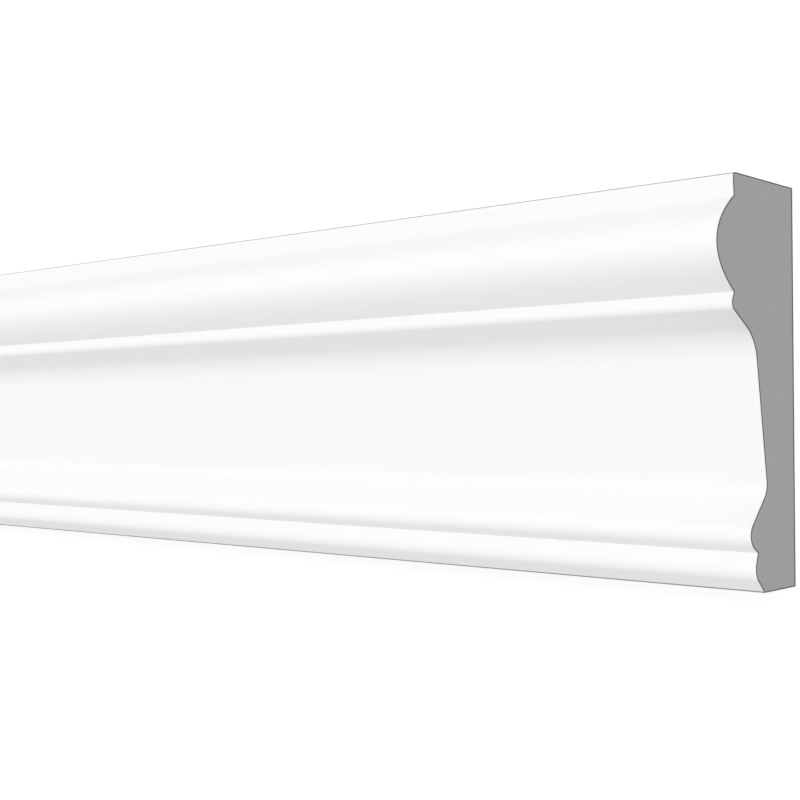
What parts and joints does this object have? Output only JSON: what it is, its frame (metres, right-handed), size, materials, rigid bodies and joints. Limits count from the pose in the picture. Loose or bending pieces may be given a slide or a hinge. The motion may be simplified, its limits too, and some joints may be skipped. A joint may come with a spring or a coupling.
{
  "type": "moulding",
  "caption": "Straight length of white profiled casing moulding: a large bead by its thick edge, a cove, a sloping flat and small beads by its thin edge. Fixed by its flat back.",
  "frame": {"origin": "middle of the flat back, which the moulding lies on", "axes": "+X along the length towards the sawn end that shows, +Y across the face towards the thick edge, +Z out of the moulded face"},
  "size_m": [2, 0.1, 0.0388],
  "materials": {
    "coated_foam": "rigid foamed polymer with a smooth matt white coat on the face, edges and back, bare grey at the sawn ends"
  },
  "bodies": {
    "root": {"moulding": "coated_foam"}
  },
  "joints": []
}
